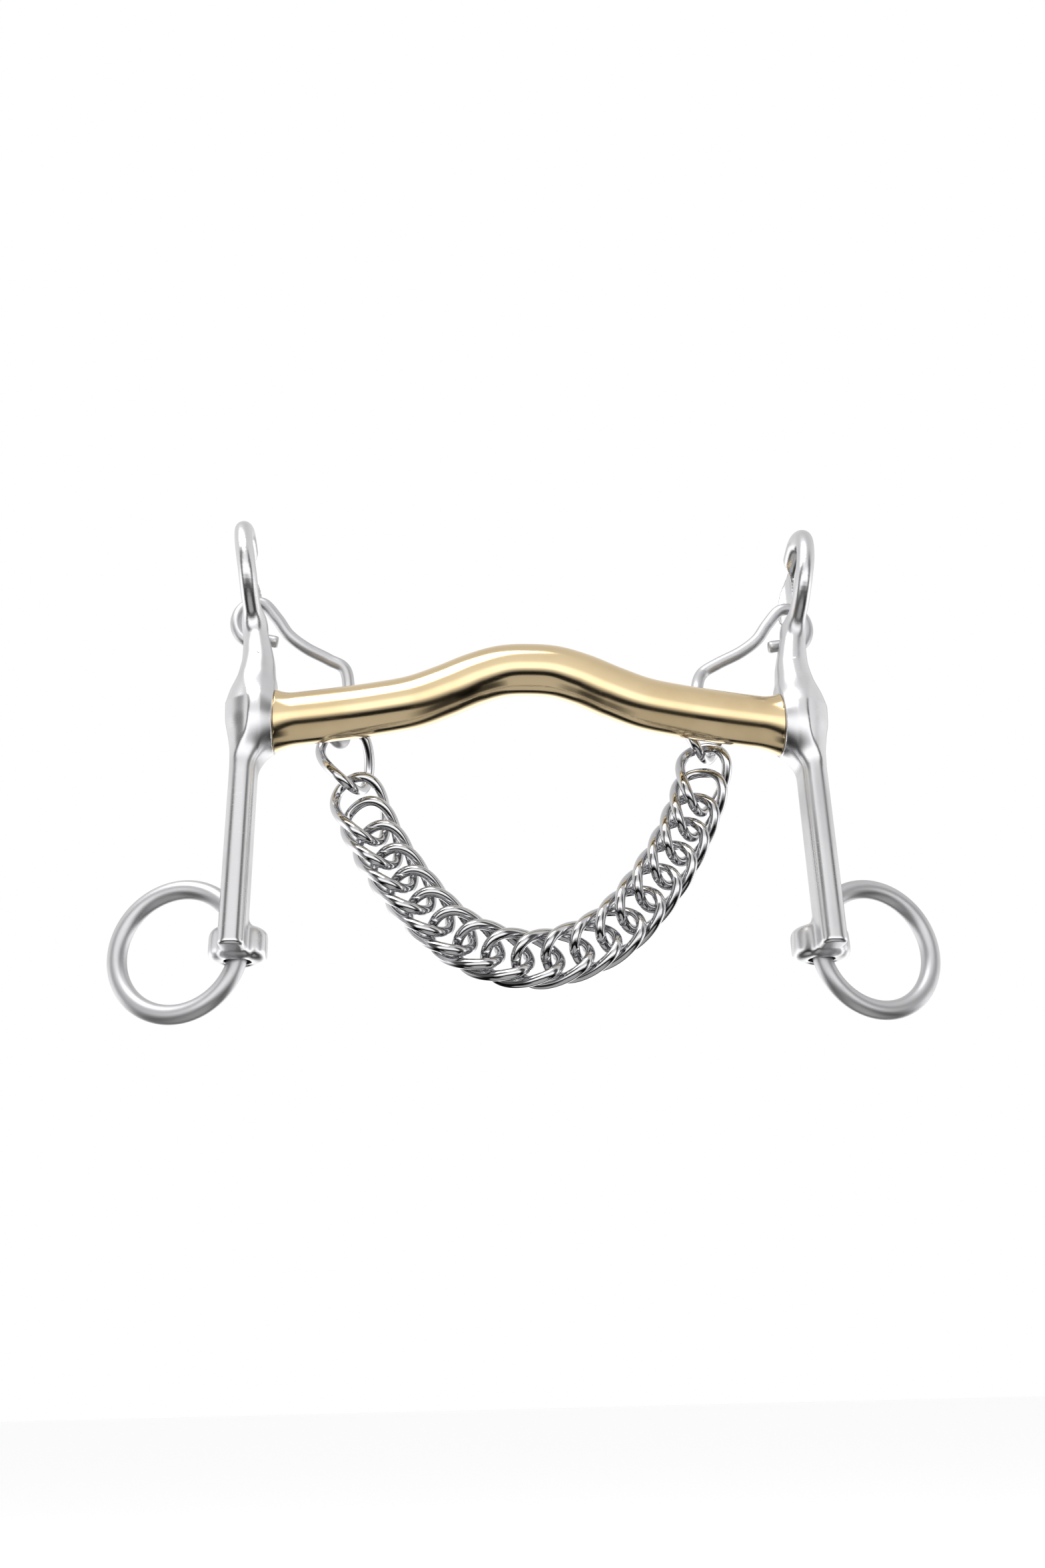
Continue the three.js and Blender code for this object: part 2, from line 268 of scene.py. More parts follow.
def cut_by(a: np.ndarray, b: np.ndarray, fillet: float) -> np.ndarray:
    """The part of two distance fields that both hold, with a rounded edge."""
    return -blended(-a, -b, fillet)


def distance_to_line(points: Points, line: Points, closed: bool) -> np.ndarray:
    """How far each point is from a line of straight stretches.

    Args:
        points: the points.
        line: the line's corners.
        closed: whether the line returns to its first corner.

    Returns:
        One distance for each point.
    """
    ends = np.roll(line, -1, axis=0) if closed else line[1:]
    starts = line if closed else line[:-1]
    best = np.full(len(points), np.inf)
    for start, end in zip(starts, ends):
        stretch = end - start
        share = np.clip((points - start) @ stretch / (stretch @ stretch), 0, 1)
        gap = points - start - share[:, None] * stretch
        best = np.minimum(best, (gap**2).sum(axis=1))
    return np.sqrt(best)


@dataclass(frozen=True)
class Placing:
    """How the drawing, in millimetres from the mouthpiece's middle, lies in the frame.

    Attributes:
        level: height of the mouthpiece's middle in the frame, in metres.
    """

    level: float

    def dress(
        self,
        mesh: bmesh.types.BMesh,
        name: str,
        look: "Finish",
        flip: bool = False,
    ) -> bpy.types.Object:
        """Turns a drawn mesh into a finished piece in its place.

        Args:
            mesh: the mesh, in millimetres; it is freed.
            name: the piece's name.
            look: its finish.
            flip: whether the mesh is mirrored to the other side of the bit.

        Returns:
            The piece.
        """
        for vert in mesh.verts:
            vert.co = Vector((-vert.co.x if flip else vert.co.x, vert.co.y, vert.co.z)) * MM
            vert.co.z += self.level
        if flip:
            bmesh.ops.reverse_faces(mesh, faces=mesh.faces)
        data = bpy.data.meshes.new(name)
        mesh.to_mesh(data)
        mesh.free()
        data.shade_smooth()
        piece = bpy.data.objects.new(name, data)
        bpy.context.scene.collection.objects.link(piece)
        data.materials.append(look.material())
        return piece


def fit_out(piece: bpy.types.Object, body: str, nodes: Sequence[str]) -> None:
    """Rides a piece on its body and hides the nodes that it stands for.

    Args:
        piece: the piece.
        body: the body that it moves with.
        nodes: the nodes that it replaces.
    """
    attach(piece, body)
    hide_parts(*nodes)
    LOG.info("%s rides on %s, %d faces", piece.name, body, len(piece.data.polygons))


# ---- finishes -----------------------------------------------------------------------------


def put(
    tree: bpy.types.NodeTree,
    kind: str,
    inputs: dict | None = None,
    **settings: object,
) -> bpy.types.Node:
    """Adds a node, sets it up and joins or fills its inputs.

    Args:
        tree: the tree to add to.
        kind: the node's type.
        inputs: values or sockets for its inputs, by their name or number.
        **settings: the node's own settings.

    Returns:
        The node.
    """
    made = tree.nodes.new(kind)
    for name, value in settings.items():
        setattr(made, name, value)
    for key, value in (inputs or {}).items():
        if isinstance(value, bpy.types.NodeSocket):
            tree.links.new(value, made.inputs[key])
        else:
            made.inputs[key].default_value = value
    return made


def handled_metal() -> bpy.types.NodeTree:
    """The shared effect of handling on metal: faint smears, polishing lines and fine marks.

    Returns:
        A group with a Smear mask, a Marks mask and a Height that follow the surface.
    """
    name = "handled metal"
    if name in bpy.data.node_groups:
        return bpy.data.node_groups[name]
    tree = bpy.data.node_groups.new(name, "ShaderNodeTree")
    for label, kind in (
        ("Vector", "NodeSocketVector"),
        ("Smear scale", "NodeSocketFloat"),
        ("Grain scale", "NodeSocketFloat"),
        ("Marks scale", "NodeSocketFloat"),
    ):
        tree.interface.new_socket(name=label, in_out="INPUT", socket_type=kind)
    for label in ("Smear", "Marks", "Height"):
        tree.interface.new_socket(name=label, in_out="OUTPUT", socket_type="NodeSocketFloat")
    given = put(tree, "NodeGroupInput")
    place = given.outputs["Vector"]
    smear = put(
        tree,
        "ShaderNodeTexNoise",
        {"Vector": place, "Scale": given.outputs["Smear scale"], "Detail": 4.0},
    )
    soft = put(
        tree,
        "ShaderNodeMapRange",
        {0: smear.outputs["Fac"], 1: 0.42, 2: 0.68},
        interpolation_type="SMOOTHSTEP",
    )
    drawn = put(
        tree,
        "ShaderNodeMapping",
        {"Vector": place, "Rotation": (0.5, 0.3, 0.9), "Scale": (1.0, 14.0, 14.0)},
    )
    lines = put(
        tree,
        "ShaderNodeTexNoise",
        {"Vector": drawn.outputs[0], "Scale": given.outputs["Marks scale"], "Detail": 3.0},
    )
    marks = put(
        tree,
        "ShaderNodeMapRange",
        {0: lines.outputs["Fac"], 1: 0.62, 2: 0.7},
        interpolation_type="SMOOTHSTEP",
    )
    grain = put(
        tree,
        "ShaderNodeTexNoise",
        {"Vector": place, "Scale": given.outputs["Grain scale"], "Detail": 2.0},
    )
    both = put(
        tree,
        "ShaderNodeMath",
        {0: marks.outputs[0], 1: -0.6, 2: grain.outputs["Fac"]},
        operation="MULTIPLY_ADD",
    )
    put(
        tree,
        "NodeGroupOutput",
        {"Smear": soft.outputs[0], "Marks": marks.outputs[0], "Height": both.outputs[0]},
    )
    return tree


@dataclass(frozen=True)
class Finish:
    """A metal finish.

    Attributes:
        name: the material's name.
        colour: the clean metal.
        smeared: the metal under faint smears.
        roughness: where it is cleanest.
        dulled: roughness under smears.
        relief: depth of the grain and marks, in millimetres.
        smear_scale: smears in a metre.
        grain_scale: grains in a metre.
        marks_scale: polishing lines in a metre, along their length.
    """

    name: str
    colour: tuple[float, float, float]
    smeared: tuple[float, float, float]
    roughness: float
    dulled: float
    relief: float
    smear_scale: float = 55.0
    grain_scale: float = 2600.0
    marks_scale: float = 160.0

    def material(self) -> bpy.types.Material:
        """The material, made once.

        Returns:
            The material with this finish.
        """
        if self.name in bpy.data.materials:
            return bpy.data.materials[self.name]
        made = bpy.data.materials.new(self.name)
        made.use_nodes = True
        made.diffuse_color = (*self.colour, 1)
        tree = made.node_tree
        tree.nodes.clear()
        where = put(tree, "ShaderNodeTexCoord")
        handled = put(tree, "ShaderNodeGroup", node_tree=handled_metal())
        tree.links.new(where.outputs["Object"], handled.inputs["Vector"])
        handled.inputs["Smear scale"].default_value = self.smear_scale
        handled.inputs["Grain scale"].default_value = self.grain_scale
        handled.inputs["Marks scale"].default_value = self.marks_scale
        tint = put(tree, "ShaderNodeMix", {0: handled.outputs["Smear"]}, data_type="RGBA")
        tint.inputs[6].default_value = (*self.colour, 1)
        tint.inputs[7].default_value = (*self.smeared, 1)
        dull = put(
            tree,
            "ShaderNodeMapRange",
            {0: handled.outputs["Smear"], 3: self.roughness, 4: self.dulled},
        )
        worn = put(
            tree,
            "ShaderNodeMath",
            {0: handled.outputs["Marks"], 1: 0.05, 2: dull.outputs[0]},
            operation="MULTIPLY_ADD",
        )
        bump = put(
            tree,
            "ShaderNodeBump",
            {"Strength": 1.0, "Distance": self.relief * MM, "Height": handled.outputs["Height"]},
        )
        shader = put(
            tree,
            "ShaderNodeBsdfPrincipled",
            {
                "Base Color": tint.outputs[2],
                "Metallic": 1.0,
                "Roughness": worn.outputs[0],
                "Normal": bump.outputs[0],
            },
        )
        put(tree, "ShaderNodeOutputMaterial", {"Surface": shader.outputs[0]})
        return made


GOLD_ALLOY = Finish(
    name="polished_gold_alloy",
    colour=(0.72, 0.57, 0.35),
    smeared=(0.66, 0.51, 0.30),
    roughness=0.14,
    dulled=0.19,
    relief=0.0010,
)
POLISHED_STEEL = Finish(
    name="polished_cheek_steel",
    colour=(0.64, 0.64, 0.65),
    smeared=(0.57, 0.57, 0.58),
    roughness=0.27,
    dulled=0.33,
    relief=0.0015,
)
SATIN_STEEL = Finish(
    name="satin_ring_steel",
    colour=(0.56, 0.56, 0.57),
    smeared=(0.50, 0.50, 0.51),
    roughness=0.42,
    dulled=0.48,
    relief=0.004,
    grain_scale=1800.0,
)
BRIGHT_WIRE = Finish(
    name="bright_chain_wire",
    colour=(0.55, 0.55, 0.56),
    smeared=(0.49, 0.49, 0.50),
    roughness=0.07,
    dulled=0.12,
    relief=0.0010,
)


# ---- the bit's parts ----------------------------------------------------------------------


@dataclass
class Mouthpiece:
    """The polished bar with its low port, from cheek to cheek."""

    placing: Placing
    half_width: float = 67.35
    radius: float = 7.1
    end_height: float = -2.6
    port_rise: float = 16.2
    flare_length: float = 5.5
    flare_radius: float = 8.6
    flare_depth_ratio: float = 0.9
    flare_lift: float = 0.2
    line: tuple[tuple[float, float], ...] = (
        (70.5, -0.3),
        (54, 1.9),
        (41, 4),
        (31, 6.2),
        (22.5, 9.6),
        (14.5, 13.3),
        (7, 15.7),
    )

    def build(self) -> None:
        """Makes the bar and fits it to the frame."""
        right = [(x, 0.0, self.end_height + rise) for x, rise in self.line]
        left = [(-x, 0.0, z) for x, _, z in reversed(right)]
        centre = spline([*right, (0, 0, self.end_height + self.port_rise), *left], 360)
        reach = self.half_width - np.abs(centre[:, 0])
        swell = np.clip(1 - reach / self.flare_length, 0, 1.2) ** 2
        tall = self.radius + (self.flare_radius - self.radius) * swell
        deep = self.radius + (self.flare_depth_ratio * self.flare_radius - self.radius) * swell
        centre[:, 2] += self.flare_lift * swell
        mesh = tube(centre, deep, tall, 64)
        for sign in (1, -1):
            geometry = [*mesh.verts, *mesh.edges, *mesh.faces]
            cut = bmesh.ops.bisect_plane(
                mesh,
                geom=geometry,
                plane_co=(sign * self.half_width, 0, 0),
                plane_no=(sign, 0, 0),
                clear_outer=True,
            )
            edges = [part for part in cut["geom_cut"] if isinstance(part, bmesh.types.BMEdge)]
            bmesh.ops.edgenet_fill(mesh, edges=edges)
        bmesh.ops.recalc_face_normals(mesh, faces=mesh.faces)
        piece = self.placing.dress(mesh, "gold_mouthpiece", GOLD_ALLOY)
        fit_out(piece, "bit", ["mouthpiece"])


@dataclass
class Cheeks:
    """The two cheeks: eye, tapering upper cheek, boss, shank and ring knob in one smooth piece."""

    placing: Placing
    face: float = 67.65
    bottom: float = -65.2
    bar_top: float = 29
    ridge: float = 1.0
    shank_corner: float = 0.4
    boss_corner: float = 0.46
    eye_wire: float = 2.4
    eye_top: float = 55.6
    root_radius: float = 8.6
    root_height: float = -2.4
    root_depth_ratio: float = 0.9
    knob: tuple[float, float, float] = (74.7, 9.4, -61.5)
    knob_radius: float = 7.5
    knob_half_height: float = 4.3
    knob_bore: float = 3.45
    end_edge: float = 1.2
    eye_blend: float = 3.0
    root_blend: float = 5.5
    knob_blend: float = 1.8
    knob_edge: float = 2.4
    bore_edge: float = 0.5
    cell: float = 0.42
    stations: tuple[tuple[float, float, float, float], ...] = (
        (-70, 74.9, 6.6, 11),
        (-40, 74.9, 6.6, 11),
        (-17, 74.9, 6.6, 11),
        (-12, 74.6, 7.8, 11.8),
        (-8, 74.2, 10.2, 13.2),
        (-4, 74.1, 12.3, 14.8),
        (1, 74.15, 12.7, 15.6),
        (5, 73.8, 11.6, 14.2),
        (10, 72.9, 9.8, 11.8),
        (15, 72.7, 8.6, 10),
        (20, 73.3, 7.4, 8.8),
        (25, 74.2, 6.5, 8),
        (28, 74.6, 5.6, 6.8),
        (32, 74.9, 4.6, 5.6),
    )
    eye_rear: tuple[tuple[float, float, float], ...] = (
        (75.1, 6.5, 31),
        (75.8, 11, 37),
        (77, 11.6, 44.5),
        (78, 8, 52),
    )
    eye_line: Points = field(init=False)
    profile: Points = field(init=False)

    def __post_init__(self) -> None:
        """Works out the eye's line and smooths the bar's stations above and below the boss's ridge."""
        front = [(x, -y, z) for x, y, z in reversed(self.eye_rear)]
        corners = [(74.4, 0, 26.6), *self.eye_rear, (78.3, 0, self.eye_top), *front]
        self.eye_line = spline(corners, 72, closed=True)
        table = np.array(self.stations, float)
        kernel = np.hanning(17)
        kernel /= kernel.sum()
        parts = []
        for start, end in ((table[0, 0], self.ridge), (self.ridge, table[-1, 0])):
            heights = np.linspace(start, end, int((end - start) / 0.25))
            columns = [heights]
            for column in (1, 2, 3):
                values = np.interp(heights, table[:, 0], table[:, column])
                padded = np.pad(values, len(kernel) // 2, mode="reflect", reflect_type="odd")
                columns.append(np.convolve(padded, kernel, mode="valid"))
            parts.append(np.stack(columns, axis=1))
        self.profile = np.vstack(parts)

    def bar(self, points: Points) -> np.ndarray:
        """Signed distance from the shank, boss and upper cheek.

        Args:
            points: the points to measure from.

        Returns:
            One distance for each point.
        """
        height = points[:, 2]
        levels = self.profile[:, 0]
        centre, width, depth = (np.interp(height, levels, self.profile[:, i]) for i in (1, 2, 3))
        corner = np.interp(height, (-17, -7), (self.shank_corner, self.boss_corner)) * width
        across = np.abs(points[:, 0] - centre) - width / 2 + corner
        along = np.abs(points[:, 1]) - depth / 2 + corner
        outside = np.hypot(np.maximum(across, 0), np.maximum(along, 0))
        side = outside + np.minimum(np.maximum(across, along), 0) - corner
        stood = cut_by(side, self.bottom - height, self.end_edge)
        return cut_by(stood, height - self.bar_top, self.end_edge)

    def shape(self, points: Points) -> np.ndarray:
        """Signed distance from the whole right cheek.

        Args:
            points: the points to measure from.

        Returns:
            One distance for each point.
        """
        bar = self.bar(points)
        eye = np.full(len(points), 2 * self.eye_wire)
        near = points[:, 2] > self.eye_line[:, 2].min() - 2 * self.eye_wire
        eye[near] = distance_to_line(points[near], self.eye_line, True) - self.eye_wire
        root_radius = self.root_radius + 0.35 * np.clip(points[:, 0] - self.face, 0, 3)
        root = np.hypot(points[:, 1] / self.root_depth_ratio, points[:, 2] - self.root_height) - root_radius
        root = cut_by(root, points[:, 0] - self.face - 5, 1.0)
        solid = blended(blended(bar, eye, self.eye_blend), root, self.root_blend)
        x, y, z = self.knob
        radial = np.hypot(points[:, 0] - x, points[:, 1] - y)
        rise = np.abs(points[:, 2] - z)
        belly = self.knob_radius - 0.5 * (rise / self.knob_half_height) ** 3
        knob = cut_by(radial - belly, rise - self.knob_half_height, self.knob_edge)
        solid = blended(solid, knob, self.knob_blend)
        return cut_by(solid, self.knob_bore - radial, self.bore_edge)

    def build(self) -> None:
        """Makes one cheek, mirrors it and fits both to the frame."""
        low = (self.face - 2 * self.cell, -14.6, self.bottom - 2)
        high = (84, 19, self.eye_top + 4)
        mesh = surface_net(self.shape, low, high, self.cell)
        cut = bmesh.ops.bisect_plane(
            mesh,
            geom=[*mesh.verts, *mesh.edges, *mesh.faces],
            plane_co=(self.face, 0, 0),
            plane_no=(-1, 0, 0),
            clear_outer=True,
        )
        edges = [part for part in cut["geom_cut"] if isinstance(part, bmesh.types.BMEdge)]
        bmesh.ops.edgenet_fill(mesh, edges=edges)
        for side, drawn in ((Side.RIGHT, mesh.copy()), (Side.LEFT, mesh)):
            piece = self.placing.dress(drawn, f"{side.word}_steel_cheek", POLISHED_STEEL, side is Side.LEFT)
            fit_out(piece, "bit", [f"{side.word}_cheek"])


@dataclass
class ReinRings:
    """The loose round rings that hang in the knobs."""

    placing: Placing
    knob: tuple[float, float, float] = (74.7, 9.4, -61.5)
    wire: float = 2.5
    radius: float = 16.5
    slack: float = 0.25
    swing: float = 14.0

    def build(self) -> None:
        """Makes both rings and fits them to the frame."""
        turn = math.radians(self.swing)
        outwards = np.array([math.cos(turn), math.sin(turn), 0])
        upwards = np.array([0, 0, 1.0])
        centre = np.array(self.knob) + (self.radius - self.slack) * outwards
        steps = 192
        angle = 2 * math.pi * np.arange(steps)[:, None] / steps
        line = centre + self.radius * (np.cos(angle) * outwards + np.sin(angle) * upwards)
        thick = np.full(steps, self.wire)
        for side in Side:
            mesh = tube(line, thick, thick, 40, closed=True)
            piece = self.placing.dress(mesh, f"{side.word}_satin_ring", SATIN_STEEL, side is Side.LEFT)
            fit_out(piece, f"{side.word}_ring", [f"{side.word}_rein_ring"])


@dataclass
class ChainLine:
    """The line that the curb chain hangs on, and how its links turn about it."""

    depth: float = 12.6
    roll: float = 18.0
    points: tuple[tuple[float, float], ...] = (
        (-49.2, -7.6),
        (-44.2, -24),
        (-33.7, -42.8),
        (-19, -58.3),
        (0, -64.2),
        (19, -58.3),
        (33.7, -42.8),
        (44.2, -24),
        (48.5, -10),
        (49.2, 2.9),
    )

    def samples(self) -> Points:
        """Points along the line, close together and evenly spaced."""
        return spline([(x, self.depth, z) for x, z in self.points], 1200)

    def end_tip(self, side: Side, half_length: float) -> Points:
        """The tip of an end link, where its hook holds it.

        Args:
            side: which end of the chain.
            half_length: from a link's middle to the wire at its tip.

        Returns:
            The tip's centre, in millimetres.
        """
        line = self.samples()
        end, before = (line[-1], line[-3]) if side is Side.RIGHT else (line[0], line[2])
        outwards = (end - before) / np.linalg.norm(end - before)
        return end + half_length * outwards


@dataclass
class CurbHooks:
    """The bent wire hooks: an eyelet on the eye, an S-shaped stem and a bend under the end link."""

    placing: Placing
    chain: ChainLine
    wire: float = 1.7
    bend: float = 4.0
    tip_rise: float = 0.9
    link_half_length: float = 9.7
    eyelet_centre: tuple[float, float, float] = (75.2, 6.4, 31.3)
    eyelet_half_width: float = 5.3
    eyelet_half_height: float = 6.4
    eyelet_tail: tuple[float, float, float] = (68.9, 6.6, 25.2)
    eyelet_angles: tuple[int, ...] = (-62, -100, -138, -176, -214, -252, -290)
    stem: tuple[tuple[float, float, float], ...] = (
        (69.4, 7.6, 33.2),
        (66.2, 8.6, 28.8),
        (61.5, 9.8, 25.4),
        (55, 11.2, 22.4),
        (50.4, 12, 19.6),
    )

    def centre_line(self, side: Side) -> Points:
        """The hook's centre line, drawn on the right side of the bit.

        Args:
            side: which hook; the left one reaches lower.

        Returns:
            Samples of the line.
        """
        x, y, z = self.eyelet_centre
        eyelet = [self.eyelet_tail]
        for degrees in self.eyelet_angles:
            angle = math.radians(degrees)
            across = x - self.eyelet_half_width * math.cos(angle)
            eyelet.append((across, y, z + self.eyelet_half_height * math.sin(angle)))
        tip = self.chain.end_tip(side, self.link_half_length)
        tip[0] = abs(tip[0])
        lean = math.radians(45 + self.chain.roll)
        start = lean + math.pi if side is Side.RIGHT else math.pi - lean
        across = np.array([math.cos(start), math.sin(start), 0])
        bend = []
        for degrees in (0, 45, 90, 135, 180):
            angle = math.radians(degrees)
            spoke = math.cos(angle) * across - math.sin(angle) * np.array([0, 0, 1])
            bend.append(tip + self.bend * spoke)
        free = bend[-1] + np.array([0, 0, self.tip_rise])
        return spline([*eyelet, *self.stem, *bend, free], 260)

    def build(self) -> None:
        """Makes both hooks and fits them to the frame."""
        for side in Side:
            line = self.centre_line(side)
            wide = np.full(len(line), self.wire)
            deep = wide.copy()
            ends = np.minimum(np.arange(len(line)), np.arange(len(line))[::-1])
            trim = 1 - 0.12 * np.clip(1 - ends / 2, 0, 1)
            mesh = tube(line, wide * trim, deep * trim, 28)
            piece = self.placing.dress(mesh, f"{side.word}_satin_hook", SATIN_STEEL, side is Side.LEFT)
            fit_out(piece, f"{side.word}_hook", [f"{side.word}_curb_hook"])


@dataclass
class CurbChain:
    """The double-link chain: twisted wire links set along its line by one node tree."""

    placing: Placing
    line: ChainLine
    wire: float = 1.4
    half_length: float = 9.7
    half_width: float = 6.45
    twist: float = 3.1
    middle_links: int = 19
    end_overlap: float = 3.4
    steps: int = 96
    sides: int = 18

    def inputs(self) -> tuple[tuple[str, str, object], ...]:
        """Name, socket type and value of each size that the node tree takes."""
        return (
            ("Links", "NodeSocketInt", 1),
            ("End step", "NodeSocketFloat", 0.0),
            ("Pitch", "NodeSocketFloat", 0.0),
            ("Roll", "NodeSocketFloat", math.radians(self.line.roll)),
            ("Half length", "NodeSocketFloat", self.half_length * MM),
            ("Half width", "NodeSocketFloat", self.half_width * MM),
            ("Twist", "NodeSocketFloat", self.twist * MM),
            ("Wire radius", "NodeSocketFloat", self.wire * MM),
            ("Wire", "NodeSocketMaterial", BRIGHT_WIRE.material()),
        )

    def tree(self) -> bpy.types.NodeTree:
        """The node tree that sets twisted links along a curve.

        Returns:
            The tree, with named inputs for its sizes.
        """
        tree = bpy.data.node_groups.new("twisted links", "GeometryNodeTree")
        tree.interface.new_socket(name="Line", in_out="INPUT", socket_type="NodeSocketGeometry")
        for name, kind, _ in self.inputs():
            tree.interface.new_socket(name=name, in_out="INPUT", socket_type=kind)
        tree.interface.new_socket(name="Links", in_out="OUTPUT", socket_type="NodeSocketGeometry")
        given = put(tree, "NodeGroupInput").outputs

        def math_node(operation: str, first: object, second: object = 0.0) -> bpy.types.NodeSocket:
            """The result of one sum on fields."""
            return put(tree, "ShaderNodeMath", {0: first, 1: second}, operation=operation).outputs[0]

        def vector_node(operation: str, first: object, second: object) -> bpy.types.NodeSocket:
            """The result of one sum on vectors."""
            made = put(tree, "ShaderNodeVectorMath", {0: first}, operation=operation)
            socket = made.inputs["Scale"] if operation == "SCALE" else made.inputs[1]
            tree.links.new(second, socket)
            return made.outputs[0]

        index = put(tree, "GeometryNodeInputIndex").outputs[0]
        angle = math_node("MULTIPLY", index, 2 * math.pi / self.steps)
        double = math_node("MULTIPLY", angle, 2.0)
        along = math_node("MULTIPLY", math_node("COSINE", angle), given["Half length"])
        across = math_node("MULTIPLY", math_node("SINE", angle), given["Half width"])
        minus_twist = math_node("MULTIPLY", given["Twist"], -1.0)
        lift = math_node("MULTIPLY", math_node("SINE", double), minus_twist)
        bent = put(tree, "ShaderNodeCombineXYZ", {0: along, 1: across, 2: lift})
        loop = put(tree, "GeometryNodeCurvePrimitiveCircle", {"Resolution": self.steps, "Radius": 1.0})
        wire_line = put(
            tree,
            "GeometryNodeSetPosition",
            {"Geometry": loop.outputs["Curve"], "Position": bent.outputs[0]},
        )
        section = put(
            tree,
            "GeometryNodeCurvePrimitiveCircle",
            {"Resolution": self.sides, "Radius": given["Wire radius"]},
        )
        link = put(
            tree,
            "GeometryNodeCurveToMesh",
            {"Curve": wire_line.outputs[0], "Profile Curve": section.outputs["Curve"]},
        )
        # The first and the last link stand off by the end step, and the others by the pitch.
        before_last = math_node("SUBTRACT", given["Links"], 1.5)
        is_end = math_node(
            "SUBTRACT",
            math_node("GREATER_THAN", index, before_last),
            math_node("LESS_THAN", index, 0.5),
        )
        stand_off = math_node("SUBTRACT", given["End step"], given["Pitch"])
        evenly = math_node("ADD", stand_off, math_node("MULTIPLY", index, given["Pitch"]))
        where = math_node("ADD", evenly, math_node("MULTIPLY", is_end, stand_off))
        whole = put(tree, "GeometryNodeCurveLength", {0: given["Line"]}).outputs[0]
        spot = put(
            tree,
            "GeometryNodeSampleCurve",
            {"Curves": given["Line"], "Length": where},
            mode="LENGTH",
        )
        share = math_node("DIVIDE", where, whole)
        centred = math_node("SUBTRACT", math_node("MULTIPLY", share, 2.0), 1.0)
        roll = math_node("MULTIPLY", centred, given["Roll"])
        forwards = put(tree, "ShaderNodeCombineXYZ", {1: -1.0}).outputs[0]
        inwards = vector_node("CROSS_PRODUCT", forwards, spot.outputs["Tangent"])
        width = vector_node(
            "ADD",
            vector_node("SCALE", inwards, math_node("COSINE", roll)),
            vector_node("SCALE", forwards, math_node("SINE", roll)),
        )
        turn = put(
            tree,
            "FunctionNodeAxesToRotation",
            {"Primary Axis": spot.outputs["Tangent"], "Secondary Axis": width},
            primary_axis="X",
            secondary_axis="Y",
        )
        spots = put(
            tree,
            "GeometryNodePoints",
            {"Count": given["Links"], "Position": spot.outputs["Position"]},
        )
        placed = put(
            tree,
            "GeometryNodeInstanceOnPoints",
            {"Points": spots.outputs[0], "Instance": link.outputs[0], "Rotation": turn.outputs[0]},
        )
        real = put(tree, "GeometryNodeRealizeInstances", {0: placed.outputs[0]})
        smooth = put(tree, "GeometryNodeSetShadeSmooth", {0: real.outputs[0]})
        dressed = put(
            tree,
            "GeometryNodeSetMaterial",
            {"Geometry": smooth.outputs[0], "Material": given["Wire"]},
        )
        put(tree, "NodeGroupOutput", {0: dressed.outputs[0]})
        return tree

    def curve(self) -> bpy.types.Object:
        """The chain's line as a curve object in its place."""
        samples = self.line.samples() * MM
        data = bpy.data.curves.new("chain line", "CURVE")
        data.dimensions = "3D"
        run = data.splines.new("POLY")
        run.points.add(len(samples) - 1)
        for point, (x, y, z) in zip(run.points, samples):
            point.co = (x, y, z + self.placing.level, 1)
        made = bpy.data.objects.new("chain line", data)
        bpy.context.scene.collection.objects.link(made)
        return made

    def links(
        self,
        carrier: bpy.types.Object,
        tree: bpy.types.NodeTree,
        name: str,
        **sizes: float,
    ) -> bpy.types.Object:
        """Runs the node tree on the chain's line and keeps its result as a plain mesh.

        Args:
            carrier: the chain's line.
            tree: the node tree.
            name: the new piece's name.
            **sizes: values for the tree's own inputs, with _ for a space.

        Returns:
            The piece.
        """
        modifier = carrier.modifiers.new("links", "NODES")
        modifier.node_group = tree
        values = {label: value for label, _, value in self.inputs()}
        values.update({key.replace("_", " "): value for key, value in sizes.items()})
        for socket in tree.interface.items_tree:
            if socket.in_out == "INPUT" and socket.name in values:
                modifier[socket.identifier] = values[socket.name]
        carrier.update_tag()
        depsgraph = bpy.context.evaluated_depsgraph_get()
        data = bpy.data.meshes.new_from_object(carrier.evaluated_get(depsgraph), depsgraph=depsgraph)
        carrier.modifiers.remove(modifier)
        data.name = name
        piece = bpy.data.objects.new(name, data)
        bpy.context.scene.collection.objects.link(piece)
        return piece

    def build(self) -> None:
        """Makes all the chain's links as one piece and fits it to the frame."""
        carrier = self.curve()
        tree = self.tree()
        samples = self.line.samples()
        length = float(np.linalg.norm(np.diff(samples, axis=0), axis=1).sum())
        end_step = 2 * self.half_length - self.end_overlap
        pitch = (length - 2 * end_step) / (self.middle_links - 1)
        nodes = FRAME["record"]["behaviour"]["bodies"]["chain"]
        sizes = {"Links": self.middle_links + 2, "End_step": end_step * MM, "Pitch": pitch * MM}
        piece = self.links(carrier, tree, "twisted_wire_links", **sizes)
        fit_out(piece, "chain", nodes)
        bpy.data.objects.remove(carrier)


# ---- the studio ---------------------------------------------------------------------------


